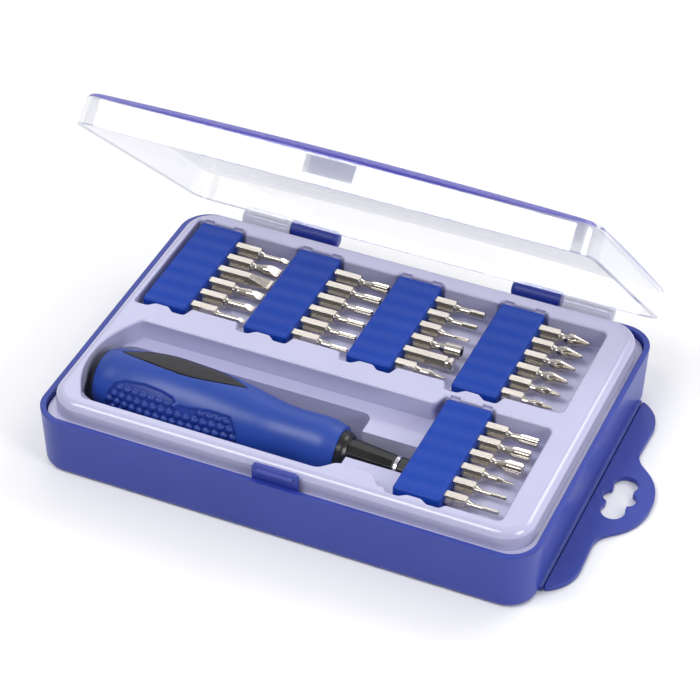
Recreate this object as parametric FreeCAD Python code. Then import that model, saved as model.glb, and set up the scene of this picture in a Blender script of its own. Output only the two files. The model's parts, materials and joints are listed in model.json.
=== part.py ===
import FreeCAD, Part
import math
import os

# Precision screwdriver set: a flat hard-plastic case with a clear hinged lid, a moulded tray,
# five soft bit holders with six 4 mm hex bits each, and a two-component bit screwdriver.
# Millimetres. +X runs along the case towards the hang tab, +Y towards the hinges, +Z is up.
# The origin is the centre of the case's flat underside. The lid is stored partly open.

V = FreeCAD.Vector
X_AXIS = V(1, 0, 0)
Y_AXIS = V(0, 1, 0)
Z_AXIS = V(0, 0, 1)
ORIGIN = V(0, 0, 0)

# ---------------------------------------------------------------- case
CASE_L = 160.0            # length over the rim, along X
CASE_W = 113.2            # width over the rim, along Y
CASE_DRAFT = 0.85         # each wall leans in this much from rim to underside
CASE_CORNER_R = 10.0
RIM_Z = 20.2              # height of the case's rim
WALL = 1.8
FLOOR = 1.2
FOOT_ROUND = 1.6          # rounding of the underside's edge
LEDGE_Z = 17.1            # top of the ledge that carries the tray
LEDGE_H = 2.0
LEDGE_W = 2.6

# ---------------------------------------------------------------- lid
LID_GAP = 0.15            # clearance between the closed lid and the rim
LID_INSET = 0.2           # the lid is this much smaller than the rim, each side
LID_WALL = 1.4
LID_CORNER_R = 7.5
LID_CROWN_Z = 31.8        # highest point of the crowned top
LID_CROWN_R = 2700.0      # radius of the crown
DOME_AXIS = V(0.052, 0, 1)  # leans so that the crown sphere's pole lies beside the lid
LID_DRAFT = 0.4
LID_EDGE_R = 2.4          # rounding of the lid's top edge
LID_REST_ANGLE = 45.5     # how far the lid is open as stored, degrees
WINDOW_W = 15.4           # latch window in the lid's front wall
WINDOW_Z = (23.0, 28.2)

# ---------------------------------------------------------------- hinge
HINGE_Y = 61.1
HINGE_Z = 19.1
KNUCKLE_R = 3.0
CASE_KNUCKLE_X = (30.0, 46.5)
LID_KNUCKLE_X = (46.9, 64.0)
PIN_R = 1.20
PIN_LEN = 14.0
PIN_BORE_R = 1.26
PIN_BORE_LEN = 14.6

# ---------------------------------------------------------------- latch
LATCH_W = 14.6
LATCH_Y = (-54.65, -53.45)
LATCH_Z = (17.2, 25.4)
CATCH_DEPTH = 0.8
CATCH_Z = (23.2, 24.1)
CATCH_W = 12.0

# ---------------------------------------------------------------- hang tab
TAB_FOLD_X = 80.2         # fold line along the tab's upper face, just clear of the wall
TAB_Z = (0.1, 1.7)
TAB_REACH = 98.0
TAB_HALF = 45.0           # half the length of the fold line
TAB_GAP = 0.15            # each side of the fold line
HANG_HOLE_X = 88.1
HANG_LOBE_R = 3.7         # the hole's two long lobes
HANG_LOBE_Y = 6.2
HANG_SIDE_R = 2.9         # the hole's two side lobes
HANG_SIDE_X = 2.3

# ---------------------------------------------------------------- tray
TRAY_L = 152.6            # at the tray's top face
TRAY_W = 104.6
TRAY_CORNER_R = 9.5
TRAY_TOP_Z = 25.0
TRAY_SKIRT_DRAFT = 0.4
TRAY_SKIN = 1.2
TRAY_SIDE_SKIN = 2.0      # the tray's outer sides are thicker, for the rounding
TRAY_ROUND = 2.6
FLANGE_Z = (17.2, 18.4)
FLANGE_GAP = 0.35
SHELF_Z = 18.0            # floor of the shallow pockets
LIP_R = 0.7               # rounding of the pocket mouths
TROUGH_Z = 1.9            # floor of the handle's trough
TROUGH_SKIN = 0.6
TROUGH_END_X = 13.2
SHAFT_TROUGH_Z = 6.0

# ---------------------------------------------------------------- bit holders
HOLDER_W = 14.6
HOLDER_LEN = 43.2
HOLDER_Z = (18.2, 25.0)
HOLDER_PITCH = 34.5
HOLDER_X0 = -64.2
ROW_HOLDER_Y = 23.9       # centre of the four holders at the back
FRONT_HOLDER_X = 40.8
FRONT_HOLDER_Y = -25.4
BITS_PER_HOLDER = 6
BIT_PITCH = 6.55
BIT_Z = 22.0
BIT_AF = 4.0              # hex shank, across flats
BIT_LEN = 28.0
BIT_HEX_LEN = 18.6
BIT_CLEAR = 0.04
TIP_REACH = (18.2, 18.4, 16.3, 16.4, 16.3)   # how far the tips stand out of each holder

# ---------------------------------------------------------------- screwdriver
DRIVER_Y = -27.0
DRIVER_Z = 15.2
GRIP_SKIN = 2.2
CAP_X = -71.6
CAP_PLUG_R = 5.0
CAP_PLUG_LEN = 6.0
GRIP_X = (-70.0, 9.0)
COLLAR_X = 12.0
DRIVER_TILT = 1.5         # the nose lies this much lower, degrees
TILT_X = -60.0
CHUCK_END_X = 32.5
CHUCK_TAIL_R = 3.9
CHUCK_R = (5.2, 4.1)      # at the collar and at the nose
CHUCK_SIDES = 12
RING_X = (26.6, 28.0)
RING_R = 4.5
SOCKET_DEPTH = 9.0
INSET_ANGLE = 17.0        # the thumb inset is turned this far back from the top, degrees
INSET_X = (-65.0, -23.5)
INSET_HALF_W = 4.8
INSET_DEPTH = 1.2


def rounded_rect(half_x, half_y, radius, z):
    """Closed wire: a rectangle about the Z axis with round corners."""
    corners = [(half_x, half_y), (-half_x, half_y), (-half_x, -half_y), (half_x, -half_y)]
    return rounded_polygon(corners, [radius] * 4, z)


def rounded_polygon(points, radii, z):
    """Closed wire through the points, each corner replaced by a tangent arc of its radius."""
    count = len(points)
    ends = []
    for i in range(count):
        here = V(points[i][0], points[i][1], z)
        before = V(points[i - 1][0], points[i - 1][1], z)
        after = V(points[(i + 1) % count][0], points[(i + 1) % count][1], z)
        to_before = (before - here).normalize()
        to_after = (after - here).normalize()
        half_turn = to_before.getAngle(to_after) / 2.0
        cut = radii[i] / math.tan(half_turn)
        middle = (to_before + to_after).normalize()
        centre = here + middle * (radii[i] / math.sin(half_turn))
        ends.append((here + to_before * cut, centre - middle * radii[i], here + to_after * cut))
    edges = []
    for i in range(count):
        start, mid, stop = ends[i]
        edges.append(Part.Arc(start, mid, stop).toShape())
        following = ends[(i + 1) % count][0]
        if (following - stop).Length > 1e-6:
            edges.append(Part.LineSegment(stop, following).toShape())
    return Part.Wire(Part.sortEdges(edges)[0])


def prism(wire, height):
    """Solid of a closed flat wire raised by the height."""
    return Part.Face(wire).extrude(V(0, 0, height))


def block(x0, x1, y0, y1, z0, z1):
    """Box between two corners."""
    return Part.makeBox(x1 - x0, y1 - y0, z1 - z0, V(x0, y0, z0))


def rod_x(radius, x0, x1, y, z):
    """Round rod along X."""
    return Part.makeCylinder(radius, x1 - x0, V(x0, y, z), X_AXIS)


def edges_at(shape, z, tolerance=1e-3):
    """The edges of the shape that lie wholly at one height."""
    found = []
    for edge in shape.Edges:
        box = edge.BoundBox
        if abs(box.ZMin - z) < tolerance and abs(box.ZMax - z) < tolerance:
            found.append(edge)
    return found


def polygon_x(radius, sides, x0, x1, y, z):
    """Regular prism along X with a flat side on top; radius is to the corners."""
    points = []
    for i in range(sides + 1):
        angle = 2 * math.pi * (i + 0.5) / sides + math.pi / 2
        points.append(V(x0, y + radius * math.cos(angle), z + radius * math.sin(angle)))
    return Part.Face(Part.makePolygon(points)).extrude(V(x1 - x0, 0, 0))


# ---------------------------------------------------------------- case shell
def case_outer():
    """The case's outer body: drafted walls, rounded corners and a rounded foot edge."""
    low = rounded_rect(CASE_L / 2 - CASE_DRAFT, CASE_W / 2 - CASE_DRAFT, CASE_CORNER_R - CASE_DRAFT, 0)
    high = rounded_rect(CASE_L / 2, CASE_W / 2, CASE_CORNER_R, RIM_Z)
    body = Part.makeLoft([low, high], True, True)
    return body.makeFillet(FOOT_ROUND, edges_at(body, 0))


def inner_rect(z, extra=0.0):
    """Wire along the inside of the case wall at a height, moved in by extra."""
    lean = CASE_DRAFT * (1 - z / RIM_Z)
    inset = WALL + lean + extra
    return rounded_rect(CASE_L / 2 - inset, CASE_W / 2 - inset, CASE_CORNER_R - inset, z)


def knuckle(x_range, side, arm_z):
    """One hinge barrel with the arm that joins it to its wall; side is -1 left, +1 right."""
    x0, x1 = sorted((side * x_range[0], side * x_range[1]))
    barrel = rod_x(KNUCKLE_R, x0, x1, HINGE_Y, HINGE_Z)
    outer_end = x1 if side * x_range[1] == x1 else x0
    inner_end = x0 if outer_end == x1 else x1
    round_end = outer_end if x_range == LID_KNUCKLE_X else inner_end
    rims = [e for e in barrel.Edges if abs(e.BoundBox.XMin - round_end) < 1e-6
            and abs(e.BoundBox.XMax - round_end) < 1e-6]
    barrel = barrel.makeFillet(1.6, rims)
    arm = block(x0 + 1.2, x1 - 1.2, CASE_W / 2 - 0.9, HINGE_Y, *arm_z)
    return barrel, arm


def make_base_shell():
    body = case_outer()
    cavity = Part.makeLoft([inner_rect(FLOOR), inner_rect(RIM_Z)], True, True)
    ledge = prism(inner_rect(LEDGE_Z - LEDGE_H, -WALL / 2), LEDGE_H)
    opening = prism(inner_rect(LEDGE_Z - LEDGE_H, LEDGE_W), LEDGE_H)
    body = body.cut(cavity).fuse(ledge.cut(opening))
    for side in (-1, 1):
        barrel, arm = knuckle(CASE_KNUCKLE_X, side, (HINGE_Z - KNUCKLE_R + 0.2, HINGE_Z))
        ends = sorted((side * (CASE_KNUCKLE_X[1] + 0.1), side * (CASE_KNUCKLE_X[1] - PIN_BORE_LEN)))
        bore = rod_x(PIN_BORE_R, ends[0], ends[1], HINGE_Y, HINGE_Z)
        body = body.fuse([barrel, arm]).cut(bore)
    root = block(CASE_L / 2 - 2.4, TAB_FOLD_X - TAB_GAP, -TAB_HALF, TAB_HALF, *TAB_Z)
    latch_root = block(-LATCH_W / 2, LATCH_W / 2, -CASE_W / 2 + 1.0, LATCH_Y[1],
                       LEDGE_Z - LEDGE_H, LATCH_Z[0] - 0.1)
    return body.fuse([root, latch_root]).removeSplitter()


# ---------------------------------------------------------------- latch
def make_latch():
    plate = block(-LATCH_W / 2, LATCH_W / 2, LATCH_Y[0], LATCH_Y[1], LATCH_Z[0], LATCH_Z[1])
    top_corners = [e for e in plate.Edges if abs(abs(e.BoundBox.XMin) - LATCH_W / 2) < 1e-6
                   and e.BoundBox.YLength > 1 and e.BoundBox.ZMin > LATCH_Z[1] - 0.1]
    plate = plate.makeFillet(1.2, top_corners)
    tip = LATCH_Y[0] - CATCH_DEPTH
    profile = [V(-CATCH_W / 2, LATCH_Y[0] + 0.2, CATCH_Z[0] - 0.1), V(-CATCH_W / 2, tip, CATCH_Z[0]),
               V(-CATCH_W / 2, tip, CATCH_Z[0] + 0.4), V(-CATCH_W / 2, LATCH_Y[0] + 0.2, CATCH_Z[1] + 0.5)]
    catch = Part.Face(Part.makePolygon(profile + profile[:1])).extrude(V(CATCH_W, 0, 0))
    return plate.fuse(catch).removeSplitter()


# ---------------------------------------------------------------- hang tab
def make_hang_tab():
    half = TAB_HALF
    reach = TAB_REACH
    start = TAB_FOLD_X + TAB_GAP
    lower = [(start, -half), (87.9, 4.6 - half), (87.2, -18.5), (reach, -9.0)]
    radii = [0.5, 13.0, 8.0, 17.5]
    upper = [(x, -y) for x, y in reversed(lower)]
    plate = prism(rounded_polygon(lower + upper, radii + radii[::-1], TAB_Z[0]), TAB_Z[1] - TAB_Z[0])
    height = TAB_Z[1] + 1
    for side in (-1, 1):
        centre = V(HANG_HOLE_X, side * HANG_LOBE_Y, 0)
        plate = plate.cut(Part.makeCylinder(HANG_LOBE_R, height, centre))
    slot = block(HANG_HOLE_X - HANG_LOBE_R + 0.5, HANG_HOLE_X + HANG_LOBE_R - 0.5,
                 -HANG_LOBE_Y, HANG_LOBE_Y, 0, height)
    plate = plate.cut(slot)
    for side in (-1, 1):
        centre = V(HANG_HOLE_X + side * HANG_SIDE_X, 0, 0)
        plate = plate.cut(Part.makeCylinder(HANG_SIDE_R, height, centre))
    return plate.removeSplitter()


# ---------------------------------------------------------------- lid
def crowned_block(inset, low_z, crown_drop):
    """Drafted block under the lid's crown; inset moves its sides in and crown_drop lowers it."""
    half_x = CASE_L / 2 - LID_INSET - inset
    half_y = CASE_W / 2 - LID_INSET - inset
    radius = LID_CORNER_R - inset
    tall = LID_CROWN_Z + 1.0
    low = rounded_rect(half_x, half_y, radius, low_z)
    high = rounded_rect(half_x - LID_DRAFT, half_y - LID_DRAFT, radius - LID_DRAFT, tall)
    body = Part.makeLoft([low, high], True, True)
    centre = V(0, 0, LID_CROWN_Z - crown_drop - LID_CROWN_R)
    dome = Part.makeSphere(LID_CROWN_R, centre, DOME_AXIS, 80, 90, 360)
    return body.common(dome)


def closed_lid():
    """The lid as it sits when shut."""
    low_z = RIM_Z + LID_GAP
    body = crowned_block(0, low_z, 0)
    top_edges = [e for e in body.Edges if e.BoundBox.ZMin > LID_CROWN_Z - 4.0]
    body = body.makeFillet(LID_EDGE_R, top_edges)
    body = body.cut(crowned_block(LID_WALL, low_z - 1.0, LID_WALL))
    window = block(-WINDOW_W / 2, WINDOW_W / 2, -CASE_W / 2 - 1, -CASE_W / 2 + 3, *WINDOW_Z)
    body = body.cut(window)
    for side in (-1, 1):
        arm_low = RIM_Z + LID_GAP + 0.1
        barrel, arm = knuckle(LID_KNUCKLE_X, side, (arm_low, HINGE_Z + KNUCKLE_R))
        arm = arm.common(block(-CASE_L, CASE_L, CASE_W / 2 - 0.9, HINGE_Y, arm_low, RIM_Z + 4))
        ends = sorted((side * (LID_KNUCKLE_X[0] + 0.5), side * (LID_KNUCKLE_X[0] - PIN_LEN)))
        pin = rod_x(PIN_R, ends[0], ends[1], HINGE_Y, HINGE_Z)
        body = body.fuse([barrel, arm, pin])
    return body.removeSplitter()


def make_lid():
    lid = closed_lid()
    lid.rotate(V(0, HINGE_Y, HINGE_Z), X_AXIS, -LID_REST_ANGLE)
    return lid


# ---------------------------------------------------------------- tray
def holder_centres():
    """Centre of each bit holder, in plan: four at the back, then the one at the front."""
    centres = [(HOLDER_X0 + i * HOLDER_PITCH, ROW_HOLDER_Y) for i in range(4)]
    return centres + [(FRONT_HOLDER_X, FRONT_HOLDER_Y)]


def scalloped_edge(centre_x, wall_y, recess, bump):
    """Outline points and radii of a front wall beside one holder, from left to right:
    a recess at each of the holder's corners with a round bump between them."""
    half = HOLDER_W / 2 + 0.9
    low = wall_y - recess
    xs = (-half - 1.2, -half, -4.4, -2.2, 2.2, 4.4, half, half + 1.2)
    ys = (wall_y, low, low, low + bump, low + bump, low, low, wall_y)
    points = [(centre_x + x, y) for x, y in zip(xs, ys)]
    radii = [1.1, 1.1, 1.2, 1.7, 1.7, 1.2, 1.1, 1.1]
    return points, radii


def upper_pocket(z, height):
    """Pocket for the four holders of the back row."""
    left, right = -73.2, 67.2
    back_wall, front_wall = 44.9, 3.4
    holder_back = ROW_HOLDER_Y + HOLDER_LEN / 2 + 0.9
    points = []
    radii = []
    for centre_x, _ in holder_centres()[:4]:
        edge, turns = scalloped_edge(centre_x, front_wall, 3.6, 1.9)
        points += edge
        radii += turns
    points[0] = (left, front_wall - 3.6)
    del points[1], radii[1]
    radii[0] = 1.3
    points += [(right, front_wall), (right, back_wall)]
    radii += [1.6, 2.4]
    for centre_x, _ in reversed(holder_centres()[:4]):
        edge_half = HOLDER_W / 2 + 1.0
        points += [(centre_x + edge_half, back_wall), (centre_x + edge_half - 0.9, holder_back)]
        radii += [1.0, 0.9]
        points += [(centre_x - edge_half + 0.9, holder_back), (centre_x - edge_half, back_wall)]
        radii += [0.9, 1.0]
    points[-2] = (left, holder_back)
    del points[-1], radii[-1]
    radii[-1] = 1.3
    return prism(rounded_polygon(points, radii, z), height)


def lower_pocket(z, height):
    """Shallow pocket for the screwdriver and the front holder."""
    right = 67.2
    front_wall = -47.6
    edge, turns = scalloped_edge(FRONT_HOLDER_X, front_wall, 1.7, 1.5)
    back_wall = -4.2
    half = HOLDER_W / 2 + 1.0
    holder_back = FRONT_HOLDER_Y + HOLDER_LEN / 2 + 0.8
    points = [(-66.4, -7.7), (-77.7, -27.6), (-66.4, front_wall), (10.4, front_wall),
              (14.8, -43.2), (26.2, -43.2), (29.4, front_wall)]
    radii = [2.6, 30.0, 2.6, 4.0, 3.4, 2.4, 0.9]
    points += edge + [(right, front_wall), (right, back_wall)]
    radii += turns + [1.6, 2.4]
    points += [(FRONT_HOLDER_X + half, back_wall), (FRONT_HOLDER_X + half - 0.9, holder_back),
               (FRONT_HOLDER_X - half, holder_back), (FRONT_HOLDER_X - half - 1.6, -7.7)]
    radii += [1.0, 0.9, 1.2, 1.8]
    return prism(rounded_polygon(points, radii, z), height)


def back_notches(z, height):
    """Two small square notches behind each holder, for a fingertip or a mould's lifter."""
    notches = []
    for centre_x, centre_y in holder_centres():
        back = centre_y + HOLDER_LEN / 2
        for side in (-1, 1):
            x = centre_x + side * 5.1
            notches.append(block(x - 1.6, x + 1.6, back - 1.0, back + 1.6, z, z + height))
    return notches


def trough(margin, floor_z, shaft_floor_z):
    """Deep trough under the handle, and a shallower one under the shaft."""
    half = 14.3 + margin
    corner = 9.0 + margin
    far = TROUGH_END_X + margin
    points = [(-73.6 - margin, DRIVER_Y - half), (far, DRIVER_Y - half),
              (far, DRIVER_Y + half), (-73.6 - margin, DRIVER_Y + half)]
    top = SHELF_Z + 0.01
    deep = prism(rounded_polygon(points, [corner, 3.0 + margin, 3.0 + margin, corner], floor_z), top - floor_z)
    shaft = block(5.0, 33.0 + margin, DRIVER_Y - 6.2 - margin, DRIVER_Y + 6.2 + margin, shaft_floor_z, top)
    return deep.fuse(shaft)


def make_tray():
    half_x = TRAY_L / 2
    half_y = TRAY_W / 2
    lean = TRAY_SKIRT_DRAFT
    foot_z = FLANGE_Z[0]
    foot = rounded_rect(half_x + lean, half_y + lean, TRAY_CORNER_R + lean, foot_z)
    top = rounded_rect(half_x, half_y, TRAY_CORNER_R, TRAY_TOP_Z)
    skirt = Part.makeLoft([foot, top], True, True)
    skirt = skirt.makeFillet(TRAY_ROUND, edges_at(skirt, TRAY_TOP_Z))
    skin = TRAY_SKIN
    under_top = TRAY_TOP_Z - skin
    side = TRAY_SIDE_SKIN
    foot_in = rounded_rect(half_x - side, half_y - side, TRAY_CORNER_R - side, foot_z - 0.1)
    body = skirt.cut(prism(foot_in, under_top - foot_z + 0.1))
    flange = prism(inner_rect(foot_z, FLANGE_GAP), FLANGE_Z[1] - FLANGE_Z[0])
    body = body.fuse(flange.cut(prism(foot_in, 4.0)))
    latch_room = block(-LATCH_W / 2 - 0.8, LATCH_W / 2 + 0.8, -CASE_W / 2, -half_y - lean, foot_z - 0.1, FLANGE_Z[1] + 0.1)
    body = body.cut(latch_room)

    corners = [(68.4, 49.9), (-75.0, 49.9), (-75.0, -50.9), (68.4, -50.9)]
    shelf = prism(rounded_polygon(corners, [4.0, 9.0, 9.0, 4.0], SHELF_Z - skin), TRAY_TOP_Z - 1.0 - SHELF_Z + skin)
    body = body.fuse(shelf)
    for pocket in (upper_pocket(SHELF_Z, 10), lower_pocket(SHELF_Z, 10)):
        before = [edge.CenterOfMass for edge in edges_at(body, TRAY_TOP_Z)]
        body = body.cut(pocket)
        mouth = [e for e in edges_at(body, TRAY_TOP_Z)
                 if min((e.CenterOfMass - c).Length for c in before) > 1e-3]
        body = body.makeFillet(LIP_R, mouth)
    body = body.cut(back_notches(TRAY_TOP_Z - 1.0, 5))
    outside = trough(skin, TROUGH_Z - TROUGH_SKIN, SHAFT_TROUGH_Z - skin)
    inside = trough(0.0, TROUGH_Z, SHAFT_TROUGH_Z)
    outside = outside.common(block(-90, 90, -90, 90, 0, SHELF_Z - 0.001))
    return body.fuse(outside).cut(inside).removeSplitter()


# ---------------------------------------------------------------- bit holders
def make_holder(index):
    centre_x, centre_y = holder_centres()[index]
    x0 = centre_x - HOLDER_W / 2
    x1 = centre_x + HOLDER_W / 2
    y0 = centre_y - HOLDER_LEN / 2
    body = block(x0, x1, y0, y0 + HOLDER_LEN, *HOLDER_Z)
    uprights = [e for e in body.Edges if e.BoundBox.ZLength > 5]
    body = body.makeFillet(1.0, uprights)
    body = body.makeFillet(0.8, edges_at(body, HOLDER_Z[1]))
    corner = (BIT_AF / 2 + BIT_CLEAR) / math.cos(math.pi / 6)
    for row in range(BITS_PER_HOLDER):
        start = x1 + TIP_REACH[index] - BIT_LEN - 0.2
        body = body.cut(polygon_x(corner, 6, start, x1 + 1, row_y(index, row), BIT_Z))
    return body


def row_y(index, row):
    """Place of a bit along Y; row 0 is the nearest to the hinges."""
    return holder_centres()[index][1] + BIT_PITCH * ((BITS_PER_HOLDER - 1) / 2.0 - row)


# ---------------------------------------------------------------- bits, built along +Z
def hexagon(across_flats, z0, z1):
    corner = across_flats / 2 / math.cos(math.pi / 6)
    points = []
    for i in range(7):
        angle = math.radians(60 * i)
        points.append(V(corner * math.cos(angle), corner * math.sin(angle), z0))
    return Part.Face(Part.makePolygon(points)).extrude(V(0, 0, z1 - z0))


def turned(profile):
    """Solid of revolution about Z from (radius, height) points, closed along the axis."""
    points = [V(0, 0, profile[0][1])] + [V(r, 0, z) for r, z in profile] + [V(0, 0, profile[-1][1])]
    kept = [points[0]]
    for point in points[1:]:
        if (point - kept[-1]).Length > 1e-6:
            kept.append(point)
    return Part.Face(Part.makePolygon(kept + kept[:1])).revolve(ORIGIN, Z_AXIS, 360)


def shank(hex_len=BIT_HEX_LEN):
    """Hex shank with a turned chamfer at each end."""
    corner = BIT_AF / 2 / math.cos(math.pi / 6)
    envelope = turned([(corner - 0.5, 0), (corner + 0.05, 0.6), (corner + 0.05, hex_len - 0.55), (1.75, hex_len)])
    return hexagon(BIT_AF, 0, hex_len).common(envelope)


def neck(tip_r, waist_r, tip_start):
    """Waisted neck between the shank and the tip."""
    z = BIT_HEX_LEN
    return turned([(1.7, z - 0.3), (waist_r, z + 1.1), (waist_r, z + 1.5), (tip_r, tip_start), (tip_r, BIT_LEN)])


def star_prism(lobes, outer, inner, z0, z1):
    """Prism with rounded-looking star lobes, two points to a flank."""
    points = []
    for i in range(lobes * 4):
        phase = i % 4
        radius = (outer, outer, inner, inner)[phase]
        offset = (-0.16, 0.16, 0.36, 0.64)[phase]
        angle = 2 * math.pi * (i // 4 + offset) / lobes
        points.append(V(radius * math.cos(angle), radius * math.sin(angle), z0))
    return Part.Face(Part.makePolygon(points + points[:1])).extrude(V(0, 0, z1 - z0))


def bit_slotted(width, thickness):
    """Flat blade, its faces ground to a taper."""
    tip_start = BIT_LEN - 5.2
    radius = width / 2
    body = neck(radius, min(1.15, radius), tip_start)
    wide = 3.2
    wedge = [V(-wide, -wide, BIT_HEX_LEN - 1), V(-wide, wide, BIT_HEX_LEN - 1),
             V(-wide, wide, tip_start - 1.5), V(-wide, thickness / 2, BIT_LEN - 1.0),
             V(-wide, thickness / 2, BIT_LEN + 0.1), V(-wide, -thickness / 2, BIT_LEN + 0.1),
             V(-wide, -thickness / 2, BIT_LEN - 1.0), V(-wide, -wide, tip_start - 1.5)]
    flat = Part.Face(Part.makePolygon(wedge + wedge[:1])).extrude(V(2 * wide, 0, 0))
    return shank().fuse(body.common(flat))


def bit_blade(width, thickness):
    """Wide flat blade ground straight from the hex."""
    start = BIT_LEN - 11.0
    full = hexagon(BIT_AF, 0, BIT_LEN)
    envelope = turned([(1.8, 0), (2.4, 0.6), (2.4, start), (width / 2, BIT_LEN - 4.5), (width / 2, BIT_LEN)])
    wide = 3.2
    wedge = [V(-wide, -wide, -1), V(-wide, wide, -1), V(-wide, wide, start - 1.0),
             V(-wide, thickness / 2, BIT_LEN - 1.0), V(-wide, thickness / 2, BIT_LEN + 0.1),
             V(-wide, -thickness / 2, BIT_LEN + 0.1), V(-wide, -thickness / 2, BIT_LEN - 1.0),
             V(-wide, -wide, start - 1.0)]
    flat = Part.Face(Part.makePolygon(wedge + wedge[:1])).extrude(V(2 * wide, 0, 0))
    return full.common(envelope).common(flat)


def flute(apex_low, apex_high, reach, z_low, z_mid):
    """V-shaped groove along a tip, running in from the side and then staying at its full depth."""
    half = 0.62 * reach
    sections = []
    for apex, z in ((apex_low, z_low), (apex_high, z_mid), (apex_high, BIT_LEN + 0.2)):
        corners = [V(apex, 0, z), V(reach, half, z), V(reach, -half, z)]
        sections.append(Part.makePolygon(corners + corners[:1]))
    return Part.makeLoft(sections, True, True)


def bit_cross(tip_r, point_len):
    """Cross-recess tip: a round body that tapers to a blunt point, with four flutes."""
    start = BIT_LEN - point_len
    body = turned([(1.7, BIT_HEX_LEN - 0.3), (0.62 * tip_r, BIT_HEX_LEN + 1.0), (0.62 * tip_r, BIT_HEX_LEN + 1.4),
                   (tip_r, start), (tip_r, start + 1.5), (0.30 * tip_r, BIT_LEN - 0.25), (0.16 * tip_r, BIT_LEN)])
    for i in range(4):
        groove = flute(1.05 * tip_r, 0.30 * tip_r, 1.7 * tip_r, start - 0.3, start + 2.4)
        groove.rotate(ORIGIN, Z_AXIS, 45 + 90 * i)
        body = body.cut(groove)
    return shank().fuse(body)


def bit_star(tip_r, lobes=6):
    """Six-lobe star tip."""
    tip_start = BIT_LEN - 4.6
    body = turned([(1.7, BIT_HEX_LEN - 0.3), (1.05, BIT_HEX_LEN + 1.1), (1.05, BIT_HEX_LEN + 1.4),
                   (tip_r, tip_start), (tip_r, BIT_LEN - 0.3), (tip_r * 0.86, BIT_LEN)])
    lobed = star_prism(lobes, tip_r + 0.02, tip_r * 0.74, tip_start - 1.0, BIT_LEN + 0.1)
    above = body.common(lobed)
    below = body.common(Part.makeCylinder(4, tip_start - 1.0))
    return shank().fuse([below, above])


def bit_hex_tip(across_flats):
    """Hexagon key tip on a thin round neck."""
    tip_start = BIT_LEN - 4.8
    corner = across_flats / 2 / math.cos(math.pi / 6)
    body = turned([(1.7, BIT_HEX_LEN - 0.3), (max(corner, 0.75), BIT_HEX_LEN + 1.4), (corner, tip_start),
                   (corner, BIT_LEN - 0.25), (corner * 0.85, BIT_LEN)])
    below = body.common(Part.makeCylinder(4, tip_start))
    above = body.common(hexagon(across_flats, tip_start - 0.1, BIT_LEN + 0.1))
    return shank().fuse([below, above])


def bit_socket(radius, across_flats):
    """Nut driver: a hollow round end with a hexagon socket."""
    body = turned([(1.7, BIT_HEX_LEN - 0.3), (1.2, BIT_HEX_LEN + 1.2), (1.2, BIT_HEX_LEN + 2.4),
                   (radius, BIT_HEX_LEN + 4.4), (radius, BIT_LEN)])
    return shank().fuse(body).cut(hexagon(across_flats, BIT_LEN - 4.2, BIT_LEN + 0.1))


def bit_adaptor():
    """Full-length hexagon with a grooved end."""
    corner = BIT_AF / 2 / math.cos(math.pi / 6)
    envelope = turned([(corner - 0.5, 0), (2.35, 0.6), (2.35, BIT_LEN - 2.4), (1.9, BIT_LEN - 2.2),
                       (1.9, BIT_LEN - 1.5), (2.35, BIT_LEN - 1.3), (2.35, BIT_LEN - 0.5), (1.9, BIT_LEN)])
    return hexagon(BIT_AF, 0, BIT_LEN).common(envelope)


def bit_point(point_r):
    """Fine round point, like a scriber or a very small cross tip."""
    body = turned([(1.7, BIT_HEX_LEN - 0.3), (0.95, BIT_HEX_LEN + 1.4), (1.15, BIT_HEX_LEN + 4.0),
                   (point_r, BIT_LEN - 3.4), (point_r * 0.35, BIT_LEN)])
    return shank().fuse(body)


# Each holder's six bits, from the hinge side to the latch side.
BITS = (
    (("slotted_2_0", bit_slotted, (2.0, 0.40)), ("slotted_4_0", bit_slotted, (3.9, 0.75)),
     ("slotted_wide", bit_blade, (4.5, 0.85)), ("slotted_3_0", bit_slotted, (3.0, 0.55)),
     ("slotted_2_5", bit_slotted, (2.5, 0.45)), ("slotted_1_5", bit_slotted, (1.6, 0.35))),
    (("star_large", bit_star, (1.55,)), ("star_9", bit_star, (1.30,)), ("star_8", bit_star, (1.15,)),
     ("star_7", bit_star, (1.00,)), ("star_6", bit_star, (0.88,)), ("star_5", bit_star, (0.75,))),
    (("hex_2_0", bit_hex_tip, (2.0,)), ("hex_1_5", bit_hex_tip, (1.6,)), ("hex_0_9", bit_hex_tip, (1.0,)),
     ("nut_socket", bit_socket, (2.25, 2.6)), ("extension", bit_adaptor, ()), ("point_fine", bit_point, (0.7,))),
    (("cross_2", bit_cross, (2.15, 6.6)), ("cross_1", bit_cross, (2.05, 6.4)), ("cross_pz1", bit_cross, (1.95, 6.2)),
     ("cross_pz0", bit_cross, (2.00, 6.2)), ("cross_0", bit_cross, (1.45, 5.8)), ("cross_00", bit_cross, (1.20, 5.8))),
    (("star_10", bit_star, (1.45,)), ("star_15", bit_star, (1.85,)), ("star_20", bit_star, (2.15,)),
     ("needle_tip", bit_point, (0.55,)), ("hex_1_3", bit_hex_tip, (1.1,)), ("hex_0_7", bit_hex_tip, (1.3,))),
)


def place_bit(index, row):
    """One bit laid along +X in its row, a flat of its shank on top."""
    _, maker, sizes = BITS[index][row]
    bit = maker(*sizes).removeSplitter()
    bit.rotate(ORIGIN, Z_AXIS, 90)
    bit.rotate(ORIGIN, Y_AXIS, 90)
    rear = holder_centres()[index][0] + HOLDER_W / 2 + TIP_REACH[index] - BIT_LEN
    bit.translate(V(rear, row_y(index, row), BIT_Z))
    return bit


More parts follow.
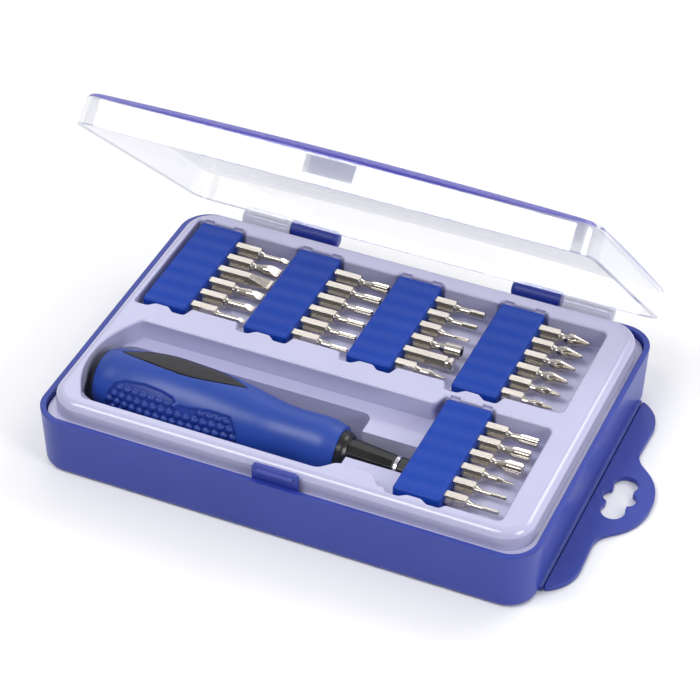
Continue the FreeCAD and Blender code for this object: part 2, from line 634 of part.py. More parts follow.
# ---------------------------------------------------------------- screwdriver
GRIP_PROFILE = ((GRIP_X[0], 8.6), (-67.6, 9.8), (-63.0, 10.6), (-56.0, 11.9), (-49.0, 12.6), (-41.0, 12.5),
                (-33.0, 12.2), (-25.0, 11.3), (-18.0, 10.2), (-11.5, 9.1), (-5.5, 8.8), (0.0, 9.0), (4.4, 9.0),
                (GRIP_X[1], 7.9))


def swept_profile(points, x_start, x_end):
    """Solid of revolution about the driver's axis under a smooth curve through (x, radius) points."""
    curve = Part.BSplineCurve()
    curve.interpolate([V(x, r, 0) for x, r in points])
    edges = [curve.toShape(),
             Part.LineSegment(V(x_end, points[-1][1], 0), V(x_end, 0, 0)).toShape(),
             Part.LineSegment(V(x_end, 0, 0), V(x_start, 0, 0)).toShape(),
             Part.LineSegment(V(x_start, 0, 0), V(x_start, points[0][1], 0)).toShape()]
    return Part.Face(Part.Wire(edges)).revolve(ORIGIN, X_AXIS, 360)


def grip_outer():
    return swept_profile(GRIP_PROFILE, GRIP_X[0], GRIP_X[1])


def core_inner():
    """The part of the handle's hard core that lies under the rubber."""
    inner = [(x, r - GRIP_SKIN) for x, r in GRIP_PROFILE]
    return swept_profile(inner, GRIP_X[0], GRIP_X[1])


def inset_cutter(grow, depth):
    """Leaf-shaped block that cuts the thumb inset out of the grip, before it is turned back."""
    x0 = INSET_X[0] - grow
    x1 = INSET_X[1] + grow
    half = INSET_HALF_W + grow
    mid = (x0 + x1) / 2 - 5.0
    sides = [Part.Arc(V(x0, 0, 0), V(mid, half, 0), V(x1, 0, 0)).toShape(),
             Part.Arc(V(x1, 0, 0), V(mid, -half, 0), V(x0, 0, 0)).toShape()]
    leaf = Part.Face(Part.Wire(sides)).extrude(V(0, 0, 30))
    below = [(x, r - depth) for x, r in GRIP_PROFILE]
    leaf = leaf.cut(swept_profile(below, GRIP_X[0], GRIP_X[1]))
    leaf.rotate(ORIGIN, X_AXIS, -INSET_ANGLE)
    return leaf


def to_driver_place(shape):
    shape.translate(V(0, DRIVER_Y, DRIVER_Z))
    shape.rotate(V(TILT_X, DRIVER_Y, DRIVER_Z), Y_AXIS, DRIVER_TILT)
    return shape


def make_rubber_grip():
    return to_driver_place(grip_outer().cut(core_inner()).cut(inset_cutter(0.0, INSET_DEPTH)))


def make_thumb_inset():
    inset = inset_cutter(-0.05, INSET_DEPTH - 0.05).common(grip_outer())
    dimple = Part.makeSphere(9.0, V(-58.5, 0, GRIP_PROFILE[3][1] + 8.05), X_AXIS)
    dimple.rotate(ORIGIN, X_AXIS, -INSET_ANGLE)
    return to_driver_place(inset.cut(dimple))


def make_handle_core():
    """Hard core and front collar, with blind seats for the chuck and the end cap."""
    core = core_inner()
    cap_seat = Part.makeCylinder(CAP_PLUG_R + 0.05, CAP_PLUG_LEN + 1, V(GRIP_X[0] - 0.5, 0, 0), X_AXIS)
    collar = turned_x([(GRIP_X[1] - 0.01, 6.3), (GRIP_X[1] + 0.05, 6.9), (10.4, 6.7), (11.2, 6.3), (COLLAR_X, 5.7)])
    seat = Part.makeCylinder(CHUCK_TAIL_R + 0.05, 14.0, V(COLLAR_X - 13.9, 0, 0), X_AXIS)
    return to_driver_place(core.fuse(collar).cut(seat).cut(cap_seat))


def make_end_cap():
    """Rounded cap that closes the handle's rear end, with a plug into the core."""
    disc_end = GRIP_X[0] - 0.05
    cap = turned_x([(CAP_X, 7.0), (CAP_X + 0.25, 7.7), (CAP_X + 0.8, 8.3), (disc_end, 8.6),
                    (disc_end, CAP_PLUG_R), (GRIP_X[0] + CAP_PLUG_LEN, CAP_PLUG_R)])
    return to_driver_place(cap)


def turned_x(profile):
    """Solid of revolution about the driver's axis from straight (x, radius) points."""
    points = [V(profile[0][0], 0, 0)] + [V(x, r, 0) for x, r in profile] + [V(profile[-1][0], 0, 0)]
    return Part.Face(Part.makePolygon(points + points[:1])).revolve(ORIGIN, X_AXIS, 360)


def make_chuck():
    """Twelve-sided bit chuck with a hexagon socket; its round tail sits in the handle."""
    tail = Part.makeCylinder(CHUCK_TAIL_R, 13.6, V(COLLAR_X - 13.6, 0, 0), X_AXIS)
    ends = []
    for x, radius in ((COLLAR_X, CHUCK_R[0]), (RING_X[0] - 0.6, CHUCK_R[1]), (CHUCK_END_X, CHUCK_R[1])):
        corners = []
        for i in range(CHUCK_SIDES + 1):
            angle = 2 * math.pi * (i + 0.5) / CHUCK_SIDES
            corners.append(V(x, radius * math.sin(angle), radius * math.cos(angle)))
        ends.append(Part.makePolygon(corners))
    sleeve = Part.makeLoft(ends, True, True)
    nose = turned_x([(COLLAR_X, 6.0), (CHUCK_END_X - 0.8, 6.0), (CHUCK_END_X - 0.7, 4.0), (CHUCK_END_X, 3.3)])
    body = tail.fuse(sleeve.common(nose))
    groove = turned_ring(RING_X[0] - 0.02, RING_X[1] + 0.02, 3.45, 6.0)
    corner = (BIT_AF / 2 + 0.05) / math.cos(math.pi / 6)
    socket = polygon_x(corner, 6, CHUCK_END_X - SOCKET_DEPTH, CHUCK_END_X + 1, 0, 0)
    well = Part.makeCylinder(1.7, 2.6, V(CHUCK_END_X - SOCKET_DEPTH - 2.5, 0, 0), X_AXIS)
    return to_driver_place(body.cut(groove).cut(socket).cut(well))


def turned_ring(x0, x1, inner, outer):
    rim = Part.makeCylinder(outer, x1 - x0, V(x0, 0, 0), X_AXIS)
    return rim.cut(Part.makeCylinder(inner, x1 - x0, V(x0, 0, 0), X_AXIS))


def make_chuck_ring():
    ring = turned_ring(RING_X[0], RING_X[1], 3.5, RING_R)
    rims = [e for e in ring.Edges if abs(e.BoundBox.ZMax - RING_R) < 1e-3 and e.BoundBox.XLength < 1e-6]
    return to_driver_place(ring.makeFillet(0.35, rims))


def make_bit_magnet():
    return to_driver_place(Part.makeCylinder(1.6, 2.4, V(CHUCK_END_X - SOCKET_DEPTH - 2.45, 0, 0), X_AXIS))


def write(node, shape):
    solids = shape.Solids
    valid = shape.isValid() and len(solids) == 1
    print(f"{node:26s} solids {len(solids)} volume {shape.Volume:10.2f} {'ok' if valid else 'CHECK'}")
    solids[0].exportStep(f"parts/{node}.step") if len(solids) == 1 else shape.exportStep(f"parts/{node}.step")


def main():
    os.makedirs("parts", exist_ok=True)
    write("base_shell", make_base_shell())
    write("tray", make_tray())
    write("latch", make_latch())
    write("hang_tab", make_hang_tab())
    write("lid", make_lid())
    for index, bits in enumerate(BITS):
        write(f"bit_holder_{index + 1}", make_holder(index))
        for row, (name, _, _) in enumerate(bits):
            write(f"bit_{name}", place_bit(index, row))
    write("handle_core", make_handle_core())
    write("end_cap", make_end_cap())
    write("rubber_grip", make_rubber_grip())
    write("thumb_inset", make_thumb_inset())
    write("chuck", make_chuck())
    write("chuck_ring", make_chuck_ring())
    write("bit_magnet", make_bit_magnet())


main()
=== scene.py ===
import json
import math
import bpy
from mathutils import Matrix, Vector


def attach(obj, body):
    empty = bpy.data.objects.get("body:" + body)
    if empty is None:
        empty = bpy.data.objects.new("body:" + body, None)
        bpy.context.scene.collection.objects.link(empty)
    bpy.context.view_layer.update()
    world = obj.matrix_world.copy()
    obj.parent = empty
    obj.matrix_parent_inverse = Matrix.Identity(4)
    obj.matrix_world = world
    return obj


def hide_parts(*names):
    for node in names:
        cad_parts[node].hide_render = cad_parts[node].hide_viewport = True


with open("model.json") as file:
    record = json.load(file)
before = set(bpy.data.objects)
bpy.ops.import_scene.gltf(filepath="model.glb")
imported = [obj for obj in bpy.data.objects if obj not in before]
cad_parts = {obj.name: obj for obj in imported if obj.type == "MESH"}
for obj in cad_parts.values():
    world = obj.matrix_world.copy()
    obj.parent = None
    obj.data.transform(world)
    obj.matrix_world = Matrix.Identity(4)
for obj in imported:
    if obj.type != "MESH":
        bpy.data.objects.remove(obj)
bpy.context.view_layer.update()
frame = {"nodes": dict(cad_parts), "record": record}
nodes = frame["nodes"]
MM = 0.001

# A precision screwdriver set: open case with a clear lid, bits in holders, and a screwdriver with
# a nubbed rubber grip. Places are in metres; the screwdriver's own measures are in mm.

# ---------------------------------------------------------------- places on the object
ROW_HOLDER_Y = 0.0239      # centre of the back row of holders
BIT_PITCH = 0.00655
HINGE = (0, 0.0611, 0.0191)
LID_ANGLE = math.radians(45.5)
LID_RISE = 0.0127          # crown above the hinge line, with the lid shut
LID_LOW = 0.00125          # open edge above the hinge line
LID_FRONT = 0.1175         # front wall ahead of the hinge line
LID_SIDE = 0.0798
BAND_H = (0.0034, 0.0028)  # the painted band of refracted blue starts and is full this far from the crown or front
BAND_SIDE = (0.0018, 0.0012)
# RIM_H: the painted shade line along the lid's open edge fades out between these heights above it.
RIM_H = (0.0005, 0.0003)

TILT_X = -60.0             # the screwdriver is tilted about this place, nose down
DRIVER_TILT = math.radians(1.5)
DRIVER_POINT = Vector((-0.060, -0.027, 0.0152))
DRIVER_AXIS = Vector((math.cos(DRIVER_TILT), 0, -math.sin(DRIVER_TILT)))
DRIVER_UP = Vector((math.sin(DRIVER_TILT), 0, math.cos(DRIVER_TILT)))
# Places along the driver, from the cap to the collar, and the grip's radius there.
GRIP_PROFILE = ((-70.0, 8.6), (-67.6, 9.8), (-63.0, 10.6), (-56.0, 11.9), (-49.0, 12.6), (-41.0, 12.5),
                (-33.0, 12.2), (-25.0, 11.3), (-18.0, 10.2), (-11.5, 9.1), (-5.5, 8.8), (0.0, 9.0), (4.4, 9.0),
                (9.0, 7.9))
GRIP_STEP = 0.25
GRIP_TURNS = 320           # points around
GRIP_END_R = 6.3
FRONT_SIDE_END = 200.0     # angles past this count back from the top, degrees
# Upper edge of the nub patch: place along the grip, angle forward of the top in degrees.
PATCH_EDGE = ((-66.0, 179), (-64.6, 90), (-63.6, 62), (-62.0, 48), (-59.0, 40), (-52.2, 37), (-46.2, 39),
              (-42.4, 43), (-40.6, 51), (-37.6, 51), (-30.2, 45), (-23.8, 45), (-22.3, 55), (-21.2, 68),
              (-20.4, 90), (-19.0, 179))
PATCH_X = (-64.8, -20.3)
PATCH_UNDER = 146.0        # lower edge, degrees
PATCH_DEPTH = 0.5
PATCH_SLOPE = 0.7
NUB_R = 1.12
NUB_PITCH = 2.75
NUB_HEIGHT = 0.85
NUB_ROW_ANGLE = 12.5
NUB_FIRST_ANGLE = 55.0
NUB_EDGE_ROOM = 1.35       # a nub's centre stays this far inside the patch
INSET_X = (-65.0, -23.5)
INSET_HALF_W = 4.8
INSET_ANGLE = 17.0         # the thumb inset is turned this far back from the top, degrees
INSET_PEAK_BACK = 5.0      # its widest place lies this far behind its middle
GROOVE_W = 0.3
GROOVE_DEPTH = 1.15
GROOVE_SLOPE = 0.25


# ---------------------------------------------------------------- shader helpers
NOISE_ROUGHNESS = 0.55
TINT_STOPS = (0.35, 0.65)
BEVEL_SAMPLES = 6
COLOUR_A, COLOUR_B, COLOUR_OUT = 6, 7, 2     # the colour sockets of a Mix node


def new_material(name):
    mat = bpy.data.materials.new(name)
    mat.use_nodes = True
    tree = mat.node_tree
    shader = tree.nodes["Principled BSDF"]
    return mat, tree, shader


def object_noise(tree, scale, detail=3.0):
    """Noise over the piece's own coordinates."""
    coords = tree.nodes.new("ShaderNodeTexCoord")
    noise = tree.nodes.new("ShaderNodeTexNoise")
    noise.inputs["Scale"].default_value = scale
    noise.inputs["Detail"].default_value = detail
    noise.inputs["Roughness"].default_value = NOISE_ROUGHNESS
    tree.links.new(coords.outputs["Object"], noise.inputs["Vector"])
    return noise


def tinted(tree, source, low, high):
    """Colour that drifts between two near tints."""
    ramp = tree.nodes.new("ShaderNodeValToRGB")
    for element, place, colour in zip(ramp.color_ramp.elements, TINT_STOPS, (low, high)):
        element.position = place
        element.color = (*colour, 1)
    tree.links.new(source, ramp.inputs["Fac"])
    return ramp.outputs["Color"]


def ranged(tree, source, low, high):
    """A value from 0 to 1 carried over to low to high."""
    span = tree.nodes.new("ShaderNodeMapRange")
    span.inputs["To Min"].default_value = low
    span.inputs["To Max"].default_value = high
    tree.links.new(source, span.inputs["Value"])
    return span.outputs["Result"]


def bumped(tree, shader, source, strength, distance, edge=0.0):
    """Fine relief; edge softens the piece's corners over that many metres."""
    bump = tree.nodes.new("ShaderNodeBump")
    bump.inputs["Strength"].default_value = strength
    bump.inputs["Distance"].default_value = distance
    tree.links.new(source, bump.inputs["Height"])
    if edge:
        bevel = tree.nodes.new("ShaderNodeBevel")
        bevel.samples = BEVEL_SAMPLES
        bevel.inputs["Radius"].default_value = edge
        tree.links.new(bevel.outputs["Normal"], bump.inputs["Normal"])
    tree.links.new(bump.outputs["Normal"], shader.inputs["Normal"])


def operation(tree, kind, *values):
    """One arithmetic step; each value is a number or an output."""
    node = tree.nodes.new("ShaderNodeMath")
    node.operation = kind
    for socket, value in zip(node.inputs, values):
        if isinstance(value, (int, float)):
            socket.default_value = value
        else:
            tree.links.new(value, socket)
    return node.outputs[0]


def along(tree, direction, origin=(0, 0, 0)):
    """Distance of a point of the piece from the origin, measured along a direction."""
    coords = tree.nodes.new("ShaderNodeTexCoord")
    shifted = tree.nodes.new("ShaderNodeVectorMath")
    shifted.operation = "SUBTRACT"
    shifted.inputs[1].default_value = origin
    tree.links.new(coords.outputs["Object"], shifted.inputs[0])
    dot = tree.nodes.new("ShaderNodeVectorMath")
    dot.operation = "DOT_PRODUCT"
    dot.inputs[1].default_value = direction
    tree.links.new(shifted.outputs["Vector"], dot.inputs[0])
    return dot.outputs["Value"]


def smooth_step(tree, value, start, end):
    """0 before the start, 1 after the end, eased between them."""
    span = tree.nodes.new("ShaderNodeMapRange")
    span.interpolation_type = "SMOOTHSTEP"
    span.inputs["From Min"].default_value = start
    span.inputs["From Max"].default_value = end
    tree.links.new(value, span.inputs["Value"])
    return span.outputs["Result"]


def blended(tree, factor, first, second):
    """Colour between two colours; each is a triple or an output."""
    mix = tree.nodes.new("ShaderNodeMix")
    mix.data_type = "RGBA"
    tree.links.new(factor, mix.inputs["Factor"])
    for socket, value in ((mix.inputs[COLOUR_A], first), (mix.inputs[COLOUR_B], second)):
        if isinstance(value, tuple):
            socket.default_value = (*value, 1)
        else:
            tree.links.new(value, socket)
    return mix.outputs[COLOUR_OUT]


def look(tree, shader, source, low, high, rough):
    """Tint and gloss that follow one slow noise."""
    tree.links.new(tinted(tree, source, low, high), shader.inputs["Base Color"])
    tree.links.new(ranged(tree, source, *rough), shader.inputs["Roughness"])


# ---------------------------------------------------------------- materials
GRAIN_DETAIL = 2.0
COAT_ROUGHNESS = 0.05


def plastic(name, low, high, rough, scale, grain=(0.15, 0.00002, 900.0), coat=0.0, edge=0.0):
    """Moulded plastic: a slow tint, a slightly uneven gloss and a very fine surface grain."""
    mat, tree, shader = new_material(name)
    look(tree, shader, object_noise(tree, scale).outputs["Fac"], low, high, rough)
    strength, distance, fineness = grain
    bumped(tree, shader, object_noise(tree, fineness, GRAIN_DETAIL).outputs["Fac"], strength, distance, edge)
    if coat:
        shader.inputs["Coat Weight"].default_value = coat
        shader.inputs["Coat Roughness"].default_value = COAT_ROUGHNESS
    return mat


STREAK_DEPTH = 0.00002


def metal(name, low, high, rough, streaks=(300.0, 2500.0, 2500.0), relief=0.05, edge=0.0):
    """Ground and plated metal: fine streaks along X."""
    mat, tree, shader = new_material(name)
    shader.inputs["Metallic"].default_value = 1.0
    coords = tree.nodes.new("ShaderNodeTexCoord")
    mapping = tree.nodes.new("ShaderNodeMapping")
    mapping.inputs["Scale"].default_value = streaks
    noise = tree.nodes.new("ShaderNodeTexNoise")
    noise.inputs["Scale"].default_value = 1.0
    noise.inputs["Detail"].default_value = GRAIN_DETAIL
    tree.links.new(coords.outputs["Object"], mapping.inputs["Vector"])
    tree.links.new(mapping.outputs["Vector"], noise.inputs["Vector"])
    look(tree, shader, noise.outputs["Fac"], low, high, rough)
    bumped(tree, shader, noise.outputs["Fac"], relief, STREAK_DEPTH, edge)
    return mat


WAVE_STRENGTH = 0.9
WAVE_DEPTH = 0.00035
WAVE_EDGE = 0.0008
HOLDER_SPECULAR = 0.25


def waved_plastic(name, low, high, rough, scale):
    """The holders' soft plastic: a faint wave over each bit."""
    mat, tree, shader = new_material(name)
    look(tree, shader, object_noise(tree, scale).outputs["Fac"], low, high, rough)
    shader.inputs["Specular IOR Level"].default_value = HOLDER_SPECULAR
    across = along(tree, (0, 1, 0), (0, ROW_HOLDER_Y, 0))
    turns = operation(tree, "MULTIPLY", across, 2 * math.pi / BIT_PITCH)
    wave = operation(tree, "COSINE", operation(tree, "ADD", turns, math.pi))
    bumped(tree, shader, operation(tree, "MULTIPLY", wave, 0.5), WAVE_STRENGTH, WAVE_DEPTH, WAVE_EDGE)
    return mat


PATCH_BLUR = (-0.02, 0.06)     # the darker tint's edge, radians past the patch's edge


def patch_limit(tree, position):
    """Angle of the nub patch's upper edge at a place along the grip."""
    start, end = PATCH_EDGE[0][0], PATCH_EDGE[-1][0]
    ramp = tree.nodes.new("ShaderNodeValToRGB")
    elements = ramp.color_ramp.elements
    for x, _ in PATCH_EDGE[1:-1]:
        elements.new((x - start) / (end - start))
    for element, (_, degrees) in zip(elements, PATCH_EDGE):
        element.color = (*([degrees / 180] * 3), 1)
    ahead = operation(tree, "SUBTRACT", position, (start - TILT_X) * MM)
    fraction = operation(tree, "DIVIDE", ahead, (end - start) * MM)
    tree.links.new(fraction, ramp.inputs["Fac"])
    return operation(tree, "MULTIPLY", ramp.outputs["Color"], math.pi)


def grip_rubber(name, plain, dark, rough, scale, grain):
    """Soft blue rubber, darker over the patch of round nubs at the front."""
    mat, tree, shader = new_material(name)
    slow = object_noise(tree, scale).outputs["Fac"]
    tint = tinted(tree, slow, *plain)
    deep = tinted(tree, slow, *dark)
    position = along(tree, DRIVER_AXIS, DRIVER_POINT)
    upward = along(tree, DRIVER_UP, DRIVER_POINT)
    forward = along(tree, (0, -1, 0), DRIVER_POINT)
    angle = operation(tree, "ARCTAN2", forward, upward)
    past_edge = operation(tree, "SUBTRACT", angle, patch_limit(tree, position))
    inside = smooth_step(tree, past_edge, *PATCH_BLUR)
    tree.links.new(blended(tree, inside, tint, deep), shader.inputs["Base Color"])
    tree.links.new(ranged(tree, slow, *rough), shader.inputs["Roughness"])
    strength, distance, fineness = grain
    bumped(tree, shader, object_noise(tree, fineness, GRAIN_DETAIL).outputs["Fac"], strength, distance)
    return mat


CLEAR_LOW = (0.86, 0.87, 0.95)
CLEAR_HIGH = (0.90, 0.91, 0.97)
# Painted shade: a grey-violet line along the lid's open edge, where the clear wall is seen edge-on.
RIM_SHADE_COLOUR = (0.42, 0.42, 0.60)
# Painted refraction: the blue case seen through the lid's rounded top edge.
REFRACTED_BLUE_COLOUR = (0.052, 0.046, 0.38)
CLEAR_SCALE = 40.0
CLEAR_ROUGHNESS = (0.05, 0.09)
CLEAR_RELIEF = (0.05, 0.0002)
FILM_COVER = (0.11, 0.15)      # how much of the view the plain wall covers
GRAZING_COVER = 0.8
GRAZING_POWER = 4.0
BAND_COVER = 0.85
RIM_COVER = 0.50
CLEAR_METALLIC = 0.5
METALLIC_LOSS = 0.55           # the painted refraction band and painted shade line mirror less


def clear_plastic(name):
    """Thin clear walls, a little milky, with a blue-violet band in the rounded top edge that is painted
    refraction of the blue case, and a painted shade line along the open edge.
    """
    mat, tree, shader = new_material(name)
    noise = object_noise(tree, CLEAR_SCALE, GRAIN_DETAIL).outputs["Fac"]
    clear_tint = tinted(tree, noise, CLEAR_LOW, CLEAR_HIGH)
    front = along(tree, (0, -math.cos(LID_ANGLE), math.sin(LID_ANGLE)), HINGE)
    height = along(tree, (0, math.sin(LID_ANGLE), math.cos(LID_ANGLE)), HINGE)
    side = along(tree, (1, 0, 0))
    # Painted refraction: a blue-violet band in the rounded top edge, where the blue case would show through
    # the clear plastic.
    top_band = smooth_step(tree, height, LID_RISE - BAND_H[0], LID_RISE - BAND_H[1])
    front_band = smooth_step(tree, front, LID_FRONT - BAND_H[0], LID_FRONT - BAND_H[1])
    side_band = smooth_step(tree, side, LID_SIDE - BAND_SIDE[0], LID_SIDE - BAND_SIDE[1])
    refraction_band = operation(tree, "MULTIPLY", operation(tree, "MAXIMUM", front_band, side_band), top_band)
    # Painted shade line along the lid's open edge.
    rim_shade = smooth_step(tree, height, LID_LOW + RIM_H[0], LID_LOW + RIM_H[1])
    edged = blended(tree, rim_shade, clear_tint, RIM_SHADE_COLOUR)
    tree.links.new(blended(tree, refraction_band, edged, REFRACTED_BLUE_COLOUR), shader.inputs["Base Color"])
    tree.links.new(ranged(tree, noise, *CLEAR_ROUGHNESS), shader.inputs["Roughness"])
    bumped(tree, shader, noise, *CLEAR_RELIEF)

    layer = tree.nodes.new("ShaderNodeLayerWeight")
    layer.inputs["Blend"].default_value = 0.5
    steep = operation(tree, "POWER", layer.outputs["Facing"], GRAZING_POWER)
    grazing = operation(tree, "MULTIPLY", steep, GRAZING_COVER)
    film = operation(tree, "ADD", grazing, ranged(tree, noise, *FILM_COVER))
    # The painted refraction band and painted shade line are more opaque and mirror less.
    painted_marks = operation(tree, "MAXIMUM", operation(tree, "MULTIPLY", refraction_band, BAND_COVER),
                         operation(tree, "MULTIPLY", rim_shade, RIM_COVER))
    mirror = operation(tree, "SUBTRACT", CLEAR_METALLIC, operation(tree, "MULTIPLY", painted_marks, METALLIC_LOSS))
    tree.links.new(mirror, shader.inputs["Metallic"])
    tree.links.new(operation(tree, "MAXIMUM", film, painted_marks), shader.inputs["Alpha"])
    return mat


GRIP_TINTS = ((0.012, 0.052, 0.31), (0.015, 0.058, 0.34))
PATCH_TINTS = ((0.008, 0.032, 0.24), (0.010, 0.037, 0.27))
BY_SLOT = {
    "case_blue": plastic("case_blue", (0.018, 0.039, 0.30), (0.023, 0.045, 0.33), rough=(0.30, 0.36),
                         scale=40.0, grain=(0.08, 0.00002, 1200.0), edge=0.0005),
    "tray_lavender": plastic("tray_lavender", (0.465, 0.46, 0.66), (0.49, 0.485, 0.69), rough=(0.16, 0.20),
                             scale=30.0, grain=(0.04, 0.00002, 500.0), coat=0.35),
    "holder_blue": waved_plastic("holder_blue", (0.004, 0.042, 0.33), (0.006, 0.050, 0.37),
                                 rough=(0.40, 0.46), scale=25.0),
    "grip_rubber": grip_rubber("grip_rubber", GRIP_TINTS, PATCH_TINTS, rough=(0.34, 0.42), scale=80.0,
                               grain=(0.12, 0.00002, 2200.0)),
    "core_black": plastic("core_black", (0.008, 0.008, 0.010), (0.014, 0.014, 0.017), rough=(0.22, 0.30),
                          scale=70.0),
    "inset_black": plastic("inset_black", (0.006, 0.006, 0.008), (0.012, 0.012, 0.014), rough=(0.34, 0.46),
                           scale=90.0),
    "chuck_black": plastic("chuck_black", (0.003, 0.003, 0.004), (0.006, 0.006, 0.007), rough=(0.10, 0.14),
                           scale=120.0, grain=(0.05, 0.00002, 900.0), edge=0.00015),
    "bit_nickel": metal("bit_nickel", (0.55, 0.51, 0.455), (0.62, 0.58, 0.52), rough=(0.12, 0.17),
                        streaks=(120.0, 900.0, 900.0), relief=0.02, edge=0.00012),
    "ring_chrome": metal("ring_chrome", (0.62, 0.62, 0.63), (0.78, 0.78, 0.79), rough=(0.08, 0.16)),
    "magnet_steel": metal("magnet_steel", (0.40, 0.40, 0.41), (0.52, 0.52, 0.53), rough=(0.25, 0.40)),
    "lid_clear": clear_plastic("lid_clear"),
}
SLOT_OF = {part["node"]: part["material_slot"] for part in frame["record"]["subparts"]}

for name, obj in nodes.items():
    obj.data.materials.clear()
    obj.data.materials.append(BY_SLOT[SLOT_OF[name]])


# ---------------------------------------------------------------- rubber grip
def between(table, x):
    """Straight interpolation in a table of (x, value) pairs."""
    if x <= table[0][0]:
        return table[0][1]
    for (x0, v0), (x1, v1) in zip(table, table[1:]):
        if x <= x1:
            return v0 + (v1 - v0) * (x - x0) / (x1 - x0)
    return table[-1][1]


def curve_radius(x):
    """Grip radius: a smooth cubic through the profile's points."""
    points = GRIP_PROFILE
    i = 0
    while i < len(points) - 2 and x > points[i + 1][0]:
        i += 1
    (x1, r1), (x2, r2) = points[i], points[i + 1]
    slope = (r2 - r1) / (x2 - x1)
    first = slope if i == 0 else (r2 - points[i - 1][1]) / (x2 - points[i - 1][0])
    last = slope if i == len(points) - 2 else (points[i + 2][1] - r1) / (points[i + 2][0] - x1)
    span = x2 - x1
    t = (x - x1) / span
    return ((2 * t ** 3 - 3 * t ** 2 + 1) * r1 + (t ** 3 - 2 * t ** 2 + t) * span * first
            + (3 * t ** 2 - 2 * t ** 3) * r2 + (t ** 3 - t ** 2) * span * last)


def eased(value, end):
    """0 at and below zero, 1 from the end on, eased between."""
    t = min(1.0, max(0.0, value / end))
    return t * t * (3 - 2 * t)


def patch_depth(x, angle, radius):
    """Distance inside the nub patch's edge, mm; negative outside."""
    from_top = math.radians(angle - between(PATCH_EDGE, x)) * radius
    from_under = math.radians(PATCH_UNDER - angle) * radius
    return min(from_top, from_under, x - PATCH_X[0], PATCH_X[1] - x)


def nub_rise(x, angle, radius):
    """Height of the round nubs above the patch."""
    best = 0.0
    row = round((angle - NUB_FIRST_ANGLE) / NUB_ROW_ANGLE)
    for r in (row - 1, row, row + 1):
        centre_angle = NUB_FIRST_ANGLE + r * NUB_ROW_ANGLE
        shift = 0.5 * (r % 2)
        column = round(x / NUB_PITCH - shift)
        for c in (column - 1, column, column + 1):
            centre_x = (c + shift) * NUB_PITCH
            if patch_depth(centre_x, centre_angle, radius) < NUB_EDGE_ROOM:
                continue
            across = math.radians(angle - centre_angle) * radius
            apart = math.hypot(x - centre_x, across)
            if apart < NUB_R:
                best = max(best, NUB_HEIGHT * math.sqrt(1 - (apart / NUB_R) ** 2))
    return best


def groove_depth(x, angle, radius):
    """Depth of the bed of the thumb inset, a leaf between two arcs."""
    turned = math.radians(angle + INSET_ANGLE)
    if math.cos(turned) <= 0:
        return 0.0
    x0, x1 = INSET_X
    centre_x = (x0 + x1) / 2
    centre_y = (INSET_PEAK_BACK ** 2 + INSET_HALF_W ** 2 - (x0 - centre_x) ** 2) / (2 * INSET_HALF_W)
    arc = math.hypot(x0 - centre_x, centre_y)
    half = centre_y + math.sqrt(max(0.0, arc ** 2 - (x - centre_x) ** 2))
    across = abs(radius * math.sin(turned))
    return GROOVE_DEPTH * eased(half + GROOVE_W - across, GROOVE_SLOPE)


def grip_reach(x, angle):
    """Distance of the rubber's surface from the driver's axis."""
    radius = curve_radius(x)
    reach = radius - groove_depth(x, angle, radius)
    inside = patch_depth(x, angle, radius)
    if inside > 0:
        reach += nub_rise(x, angle, radius) - PATCH_DEPTH * eased(inside, PATCH_SLOPE)
    return reach


def grip_point(x, degrees, reach):
    turn = math.radians(degrees)
    out = DRIVER_UP * math.cos(turn) - Vector((0, 1, 0)) * math.sin(turn)
    return DRIVER_POINT + DRIVER_AXIS * ((x - TILT_X) * MM) + out * (reach * MM)


def make_grip():
    """The rubber with its recessed patch of nubs and the bed of the thumb inset."""
    start, end = GRIP_PROFILE[0][0], GRIP_PROFILE[-1][0]
    places = [start + i * GRIP_STEP for i in range(round((end - start) / GRIP_STEP) + 1)]
    angles = [360.0 * j / GRIP_TURNS for j in range(GRIP_TURNS)]
    verts = [grip_point(start, angle, GRIP_END_R) for angle in angles]
    for x in places:
        for angle in angles:
            from_top = angle if angle <= FRONT_SIDE_END else angle - 360
            verts.append(grip_point(x, angle, grip_reach(x, from_top)))
    verts += [grip_point(end, angle, GRIP_END_R) for angle in angles]
    faces = []
    for ring in range(0, len(verts) - GRIP_TURNS, GRIP_TURNS):
        for j in range(GRIP_TURNS):
            here = ring + j
            beside = ring + (j + 1) % GRIP_TURNS
            faces.append((here, beside, beside + GRIP_TURNS, here + GRIP_TURNS))
    mesh = bpy.data.meshes.new("grip_nubbed")
    mesh.from_pydata([tuple(v) for v in verts], [], faces)
    mesh.polygons.foreach_set("use_smooth", [True] * len(mesh.polygons))
    mesh.update()
    mesh.materials.append(BY_SLOT["grip_rubber"])
    grip = bpy.data.objects.new("grip_nubbed", mesh)
    bpy.context.scene.collection.objects.link(grip)
    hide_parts("rubber_grip")
    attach(grip, "driver")


make_grip()


# ---------------------------------------------------------------- stage, camera, light
FLOOR_HALF = 3.0
FLOOR_Z = -0.0003
FLOOR_TINTS = ((0.90, 0.90, 0.905), (0.92, 0.92, 0.925))
FLOOR_ROUGHNESS = 0.9
SKY_Y = (-0.75, 0.45)      # directions between which the surroundings brighten, front to back
SKY_STRENGTH = (0.14, 0.75)
LIGHT_TARGET = (0, 0, 0.02)
LIGHTS = (
    ("key", (-0.30, -0.55, 1.00), LIGHT_TARGET, (0.7, 0.5), 7.5),
    ("back", (0.45, 0.80, 0.85), LIGHT_TARGET, (0.7, 0.4), 4.0),
    ("card", (-0.42, 0.95, 0.86), LIGHT_TARGET, (0.6, 0.45), 0.9),
    ("side", (0.95, -0.35, 0.50), (0.05, 0, 0.02), (0.4, 0.5), 4.5),
)
CAMERA_PLACE = (0.241126, -0.567123, 0.537231)
CAMERA_ANGLES = (23.168, 39.473, 0.527)      # round to the right, up, roll; degrees
CAMERA_LENS = 135.95
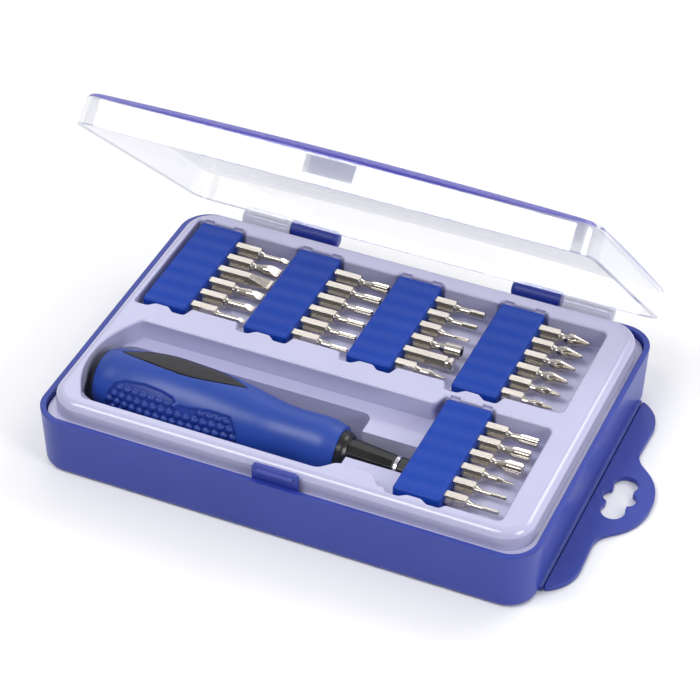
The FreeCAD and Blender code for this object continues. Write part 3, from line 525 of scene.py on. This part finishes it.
CAMERA_SENSOR = 36.0
CAMERA_SHIFT = (0.0072, -0.0016)
CAMERA_NEAR = 0.05


def area_light(name, place, target, size, power):
    data = bpy.data.lights.new(name, "AREA")
    data.shape = "RECTANGLE"
    data.size, data.size_y = size
    data.energy = power
    light = bpy.data.objects.new(name, data)
    light.location = place
    light.rotation_euler = (Vector(target) - Vector(place)).to_track_quat("-Z", "Y").to_euler()
    bpy.context.scene.collection.objects.link(light)


def build_floor():
    mesh = bpy.data.meshes.new("floor")
    corners = [(x * FLOOR_HALF, y * FLOOR_HALF, FLOOR_Z) for x, y in ((-1, -1), (1, -1), (1, 1), (-1, 1))]
    mesh.from_pydata(corners, [], [(0, 1, 2, 3)])
    floor = bpy.data.objects.new("floor", mesh)
    bpy.context.scene.collection.objects.link(floor)
    mat, tree, shader = new_material("floor_pale")
    noise = object_noise(tree, 3.0)
    tree.links.new(tinted(tree, noise.outputs["Fac"], *FLOOR_TINTS), shader.inputs["Base Color"])
    shader.inputs["Roughness"].default_value = FLOOR_ROUGHNESS
    floor.data.materials.append(mat)


def build_surroundings():
    """Pale surroundings, darker at the front so that the bits' facets show."""
    world = bpy.data.worlds.new("studio")
    world.use_nodes = True
    tree = world.node_tree
    background = tree.nodes["Background"]
    background.inputs["Color"].default_value = (1.0, 1.0, 1.0, 1)
    coords = tree.nodes.new("ShaderNodeTexCoord")
    parts = tree.nodes.new("ShaderNodeSeparateXYZ")
    tree.links.new(coords.outputs["Generated"], parts.inputs["Vector"])
    fading = tree.nodes.new("ShaderNodeMapRange")
    for socket, value in zip(("From Min", "From Max", "To Min", "To Max"), (*SKY_Y, *SKY_STRENGTH)):
        fading.inputs[socket].default_value = value
    tree.links.new(parts.outputs["Y"], fading.inputs["Value"])
    tree.links.new(fading.outputs["Result"], background.inputs["Strength"])
    bpy.context.scene.world = world
    bpy.context.scene.view_settings.view_transform = "Standard"


def build_camera():
    """Long lens from the right of the front, at about forty degrees above the case."""
    data = bpy.data.cameras.new("camera")
    data.lens = CAMERA_LENS
    data.sensor_width = CAMERA_SENSOR
    data.shift_x, data.shift_y = CAMERA_SHIFT
    data.clip_start = CAMERA_NEAR
    camera = bpy.data.objects.new("camera", data)
    azimuth, elevation, roll = (math.radians(a) for a in CAMERA_ANGLES)
    back = Vector((math.sin(azimuth) * math.cos(elevation), -math.cos(azimuth) * math.cos(elevation),
                   math.sin(elevation)))
    right = Vector((math.cos(azimuth), math.sin(azimuth), 0))
    up = back.cross(right)
    turned_right = right * math.cos(roll) + up * math.sin(roll)
    turned_up = up * math.cos(roll) - right * math.sin(roll)
    matrix = Matrix((turned_right, turned_up, back)).transposed().to_4x4()
    matrix.translation = Vector(CAMERA_PLACE)
    camera.matrix_world = matrix
    bpy.context.scene.collection.objects.link(camera)
    bpy.context.scene.camera = camera


build_floor()
build_surroundings()
for light in LIGHTS:
    area_light(*light)
build_camera()
